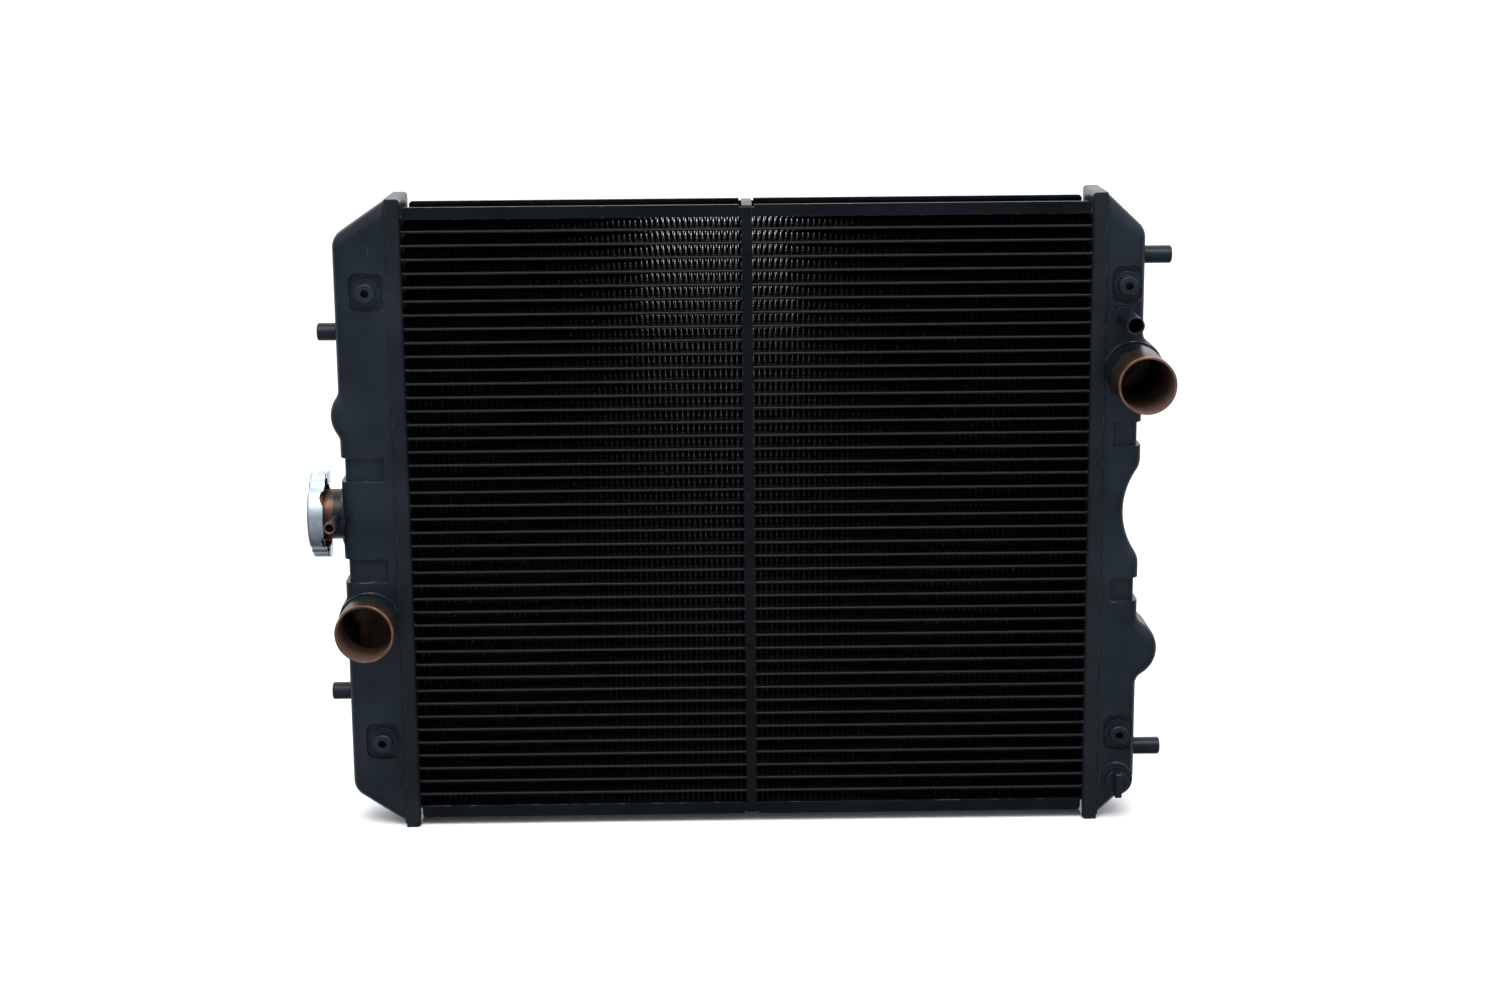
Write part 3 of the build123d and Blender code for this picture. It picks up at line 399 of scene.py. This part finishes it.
for node in ("filler_tank", "drain_tank"):
    wear(node, tank_black)
for node in ("top_side_plate", "bottom_side_plate", "centre_strap"):
    wear(node, plate_paint)
for node in ("filler_header", "drain_header"):
    wear(node, header_paint)
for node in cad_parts:
    if node.startswith(("mounting_pin", "threaded_boss")):
        wear(node, thick_paint)
for node in ("drain_boss", "drain_plug", "bypass_nipple"):
    wear(node, thick_paint)
wear("core_tubes", tube_look())
inlet_bore = (inlet_high.x - inlet_low.x) / 2 - STUB_WALL
outlet_bore = (outlet_high.x - outlet_low.x) / 2 - STUB_WALL
wear("inlet_stub", part_bare(
    "inlet_copper", "Y", inlet_low.y + 20 * MM, inlet_low.y + 10 * MM, "inlet_stub", inlet_bore))
wear("outlet_stub", part_bare(
    "outlet_copper", "Y", outlet_low.y + 36 * MM, outlet_low.y + 22 * MM, "outlet_stub", outlet_bore))
wear("filler_neck", part_bare("neck_copper", "X", neck_low.x + 11.0 * MM, neck_low.x + 8.0 * MM, tone=0.42))
wear("overflow_nipple", part_bare("overflow_copper", "Y", drip_high.y, drip_low.y - 30 * MM))
wear("cap_shell", zinc)
wear("cap_rivet", zinc)
wear("cap_spring_disc", steel)
for node in ("cap_bell", "pressure_plate", "vacuum_valve"):
    wear(node, brass)
for node in ("cap_gasket", "pressure_seal", "drain_seal"):
    wear(node, rubber)


# ------------------------------------------------------------------ fins
def fin_sheet(length, depth, height):
    """One louvred, folded fin, centred on the origin: vertices and faces."""
    points, faces = [], []

    def quad(*corners):
        first = len(points)
        points.extend(corners)
        faces.append(tuple(range(first, first + 4)))

    half_pitch = FIN_PITCH / 2
    folds = int(length / half_pitch)
    start = -folds * half_pitch / 2
    front, back = -depth / 2, depth / 2
    pitch = depth / LOUVRES
    for index in range(folds):
        side = 1 if index % 2 else -1
        crest_z = side * height / 2
        x0 = start + index * half_pitch
        x1 = x0 + FIN_CREST
        x2 = x0 + half_pitch
        quad((x0, front, crest_z), (x1, front, crest_z), (x1, back, crest_z), (x0, back, crest_z))
        rise = Vector((x2 - x1, 0.0, -2 * crest_z))
        along = rise.normalized()
        base = Vector((x1, 0.0, crest_z))
        border = along * FIN_BORDER
        for low, high in ((base, base + border), (base + rise - border, base + rise)):
            quad(
                (low.x, front, low.z), (high.x, front, high.z), (high.x, back, high.z), (low.x, back, low.z)
            )
        across = Vector((along.z, 0.0, -along.x))
        for slat in range(LOUVRES):
            middle = front + (slat + 0.5) * pitch
            lean = LOUVRE_ANGLE if slat < LOUVRES / 2 else -LOUVRE_ANGLE
            half = (pitch - LOUVRE_SPACE) / 2
            offset = across * (half * sin(lean)) + Vector((0.0, half * cos(lean), 0.0))
            foot = base + border + Vector((0.0, middle, 0.0))
            head = base + rise - border + Vector((0.0, middle, 0.0))
            quad(tuple(foot - offset), tuple(head - offset), tuple(head + offset), tuple(foot + offset))
    return points, faces


def build_fins():
    tube_low, tube_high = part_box("core_tubes")
    fin_low, fin_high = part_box("core_fins")
    left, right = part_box("filler_header")[0].x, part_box("drain_header")[1].x
    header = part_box("drain_header")
    core_end = header[0].x
    core_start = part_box("filler_header")[1].x
    pitch = (tube_high.z - tube_low.z - TUBE_THICKNESS) / (TUBE_LEVELS - 1)
    gap = pitch - TUBE_THICKNESS
    length = core_end - core_start - 1.0 * MM
    points, faces = fin_sheet(length, fin_high.y - fin_low.y, gap - 0.1 * MM)
    mesh = bpy.data.meshes.new("core_fins_folded")
    centre = Vector(((core_end + core_start) / 2, (fin_low.y + fin_high.y) / 2, fin_low.z + gap / 2))
    mesh.from_pydata([tuple(Vector(p) + centre) for p in points], [], faces)
    mesh.validate()
    mesh.materials.append(fin_look())
    piece = bpy.data.objects.new("core_fins_folded", mesh)
    bpy.context.scene.collection.objects.link(piece)
    rows = piece.modifiers.new("rows", "ARRAY")
    rows.count = TUBE_LEVELS + 1
    rows.use_relative_offset = False
    rows.use_constant_offset = True
    rows.constant_offset_displace = (0.0, 0.0, pitch)
    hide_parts("core_fins")
    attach(piece, "radiator")


build_fins()


# ------------------------------------------------------------------ springs
def build_spring(node, body, wire, turns):
    """A coil along X in the node's own box."""
    low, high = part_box(node)
    middle = (low + high) / 2
    coil = (high.y - low.y - wire) / 2
    length = high.x - low.x - wire
    steps = turns * COIL_STEPS
    points, faces = [], []
    for step in range(steps + 1):
        turn = 2 * pi * turns * step / steps
        outward = Vector((0.0, cos(turn), sin(turn)))
        along = Vector((length / (2 * pi * turns), -coil * sin(turn), coil * cos(turn))).normalized()
        across = along.cross(outward)
        centre = Vector((low.x + wire / 2 + length * step / steps, middle.y, middle.z)) + outward * coil
        for side in range(WIRE_SIDES):
            angle = 2 * pi * side / WIRE_SIDES
            points.append(tuple(centre + (outward * cos(angle) + across * sin(angle)) * (wire / 2)))
    for step in range(steps):
        first = step * WIRE_SIDES
        for side in range(WIRE_SIDES):
            after = (side + 1) % WIRE_SIDES
            faces.append((first + side, first + after, first + WIRE_SIDES + after, first + WIRE_SIDES + side))
    faces.append(tuple(reversed(range(WIRE_SIDES))))
    faces.append(tuple(range(steps * WIRE_SIDES, (steps + 1) * WIRE_SIDES)))
    mesh = bpy.data.meshes.new(node + "_coil")
    mesh.from_pydata(points, [], faces)
    mesh.validate()
    mesh.shade_smooth()
    mesh.materials.append(steel)
    piece = bpy.data.objects.new(node + "_coil", mesh)
    bpy.context.scene.collection.objects.link(piece)
    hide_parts(node)
    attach(piece, body)
    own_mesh(piece)


build_spring(
    "pressure_spring", "cap_core", PRESSURE_WIRE, PRESSURE_TURNS
)
build_spring(
    "vacuum_spring", "pressure_valve", VACUUM_WIRE, VACUUM_TURNS
)


# ------------------------------------------------------------------ solder
def painted_solder():
    look = Look("painted_solder")
    colour, roughness, normal, rubbed = paint_layers(look, 0.3 * MM, 0.4)
    bright = look.span(look.noise(3 * MM, 3.0), 0.60, 0.70)
    colour = look.mix(look.math("MULTIPLY", bright, 0.25), colour, SOLDER)
    return look.finish(
        colour=colour, roughness=look.math("ADD", roughness, 0.05), normal=normal, specular=0.30,
        metallic=look.math("MULTIPLY", bright, 0.3),
    )


def lump(points, faces, centre, size, chance, sides=8, rows=4):
    """A lumpy drop, wider along Z than it stands out, added to the lists."""
    first = len(points)
    points.append((centre[0], centre[1], centre[2] - size[2]))
    for row in range(1, rows):
        polar = pi * row / rows
        for side in range(sides):
            turn = 2 * pi * side / sides
            swell = 1.0 + chance.uniform(-0.14, 0.14)
            points.append((
                centre[0] + size[0] * sin(polar) * cos(turn) * swell,
                centre[1] + size[1] * sin(polar) * sin(turn) * swell,
                centre[2] - size[2] * cos(polar),
            ))
    points.append((centre[0], centre[1], centre[2] + size[2]))
    last = len(points) - 1
    for side in range(sides):
        after = (side + 1) % sides
        faces.append((first, first + 1 + after, first + 1 + side))
        for row in range(rows - 2):
            low = first + 1 + row * sides
            faces.append((low + side, low + after, low + sides + after, low + sides + side))
        top = first + 1 + (rows - 2) * sides
        faces.append((last, top + side, top + after))


def build_solder():
    """Drops where the front and back tubes meet the header plates, and along the tanks' seams."""
    chance = random.Random(SEED)
    tube_low, tube_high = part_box("core_tubes")
    pitch = (tube_high.z - tube_low.z - TUBE_THICKNESS) / (TUBE_LEVELS - 1)
    inner = {"filler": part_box("filler_header")[1].x, "drain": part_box("drain_header")[0].x}
    points, faces = [], []
    for side, x in inner.items():
        toward = 1 if side == "filler" else -1
        for level in range(TUBE_LEVELS):
            z = tube_low.z + TUBE_THICKNESS / 2 + level * pitch
            for y in (tube_low.y + 1.2 * MM, tube_high.y - 1.2 * MM):
                reach = chance.uniform(0.5, 1.3) * MM
                size = (reach, chance.uniform(0.9, 1.5) * MM, chance.uniform(1.1, 1.5) * MM)
                lump(points, faces, (x + toward * 0.1 * MM, y, z), size, chance)
    for node, header in (("filler_tank", "filler_header"), ("drain_tank", "drain_header")):
        box_low, box_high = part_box(header)
        x = box_low.x if node == "filler_tank" else box_high.x
        toward = -1 if node == "filler_tank" else 1
        z = box_low.z + 8 * MM
        while z < box_high.z - 8 * MM:
            for y in (box_low.y + 1.3 * MM, box_high.y - 1.3 * MM):
                length = chance.uniform(2.2, 4.0) * MM
                lump(
                    points, faces, (x + toward * 0.05 * MM, y, z),
                    (chance.uniform(0.25, 0.50) * MM, 0.45 * MM, length), chance,
                )
            z += chance.uniform(3.6, 4.6) * MM
    mesh = bpy.data.meshes.new("solder")
    mesh.from_pydata(points, [], faces)
    mesh.validate()
    mesh.shade_smooth()
    mesh.materials.append(painted_solder())
    piece = bpy.data.objects.new("solder", mesh)
    bpy.context.scene.collection.objects.link(piece)
    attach(piece, "radiator")


build_solder()


# ------------------------------------------------------------------ stage, light and camera
def build_stage():
    bpy.ops.mesh.primitive_circle_add(vertices=64, radius=60.0, fill_type="NGON", location=(0, 0, 0))
    floor = bpy.context.object
    floor.name = "floor"
    floor.data.materials.append(floor_look())
    floor.visible_glossy = False


def soft_light(name, place, target, width, height, power):
    data = bpy.data.lights.new(name, "AREA")
    data.shape = "RECTANGLE"
    data.size = width
    data.size_y = height
    data.energy = power
    lamp = bpy.data.objects.new(name, data)
    lamp.location = place
    lamp.rotation_mode = "QUATERNION"
    lamp.rotation_quaternion = (Vector(target) - Vector(place)).to_track_quat("-Z", "Y")
    bpy.context.scene.collection.objects.link(lamp)


def build_light():
    world = bpy.data.worlds.new("studio")
    world.use_nodes = True
    tree = world.node_tree
    background = tree.nodes["Background"]
    background.inputs["Color"].default_value = (0.96, 0.98, 1.0, 1.0)
    where = tree.nodes.new("ShaderNodeTexCoord")
    axes = tree.nodes.new("ShaderNodeSeparateXYZ")
    tree.links.new(where.outputs["Generated"], axes.inputs[0])
    total = None
    for axis, way, power in (("Z", 1.0, WORLD_TOP), ("Y", 1.0, WORLD_BACK), ("Y", -1.0, WORLD_FRONT)):
        part = tree.nodes.new("ShaderNodeMapRange")
        part.inputs["From Min"].default_value = 0.0
        part.inputs["From Max"].default_value = way
        part.inputs["To Max"].default_value = power
        tree.links.new(axes.outputs[axis], part.inputs["Value"])
        added = tree.nodes.new("ShaderNodeMath")
        added.inputs[1].default_value = WORLD_SIDE
        tree.links.new(part.outputs[0], added.inputs[0])
        if total is not None:
            tree.links.new(total, added.inputs[1])
        total = added.outputs[0]
    ray = tree.nodes.new("ShaderNodeLightPath")
    seen = tree.nodes.new("ShaderNodeMix")
    tree.links.new(ray.outputs["Is Camera Ray"], seen.inputs[0])
    tree.links.new(total, seen.inputs[2])
    seen.inputs[3].default_value = WORLD_SEEN
    tree.links.new(seen.outputs[0], background.inputs["Strength"])
    bpy.context.scene.world = world
    bpy.context.scene.view_settings.view_transform = "Standard"
    middle = (0.0, 0.0, 0.2)
    soft_light("top", (0.0, -0.8, 1.5), middle, 1.6, 1.0, 26.0)
    soft_light("left", (-1.9, -0.7, 0.9), middle, 1.0, 1.4, 2.5)
    soft_light("right", (1.9, -0.7, 0.9), middle, 1.0, 1.4, 2.5)


def build_camera():
    core_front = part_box("core_tubes")[0].y
    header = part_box("drain_header")
    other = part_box("filler_header")
    centre = Vector(((header[0].x + other[1].x) / 2, core_front, (header[0].z + header[1].z) / 2))
    turn = Matrix.Rotation(-YAW, 4, "Z")
    back = Vector((0.0, -cos(PITCH), sin(PITCH))) * DISTANCE
    place = centre + turn @ (TARGET_OFFSET + back)
    data = bpy.data.cameras.new("camera")
    data.lens = LENS
    data.sensor_width = 36.0
    data.clip_end = 200.0
    camera = bpy.data.objects.new("camera", data)
    tilt = Matrix.Rotation(pi / 2 - PITCH, 4, "X")
    camera.matrix_world = Matrix.Translation(place) @ turn @ tilt @ Matrix.Rotation(-ROLL, 4, "Z")
    bpy.context.scene.collection.objects.link(camera)
    bpy.context.scene.camera = camera


build_stage()
build_light()
build_camera()
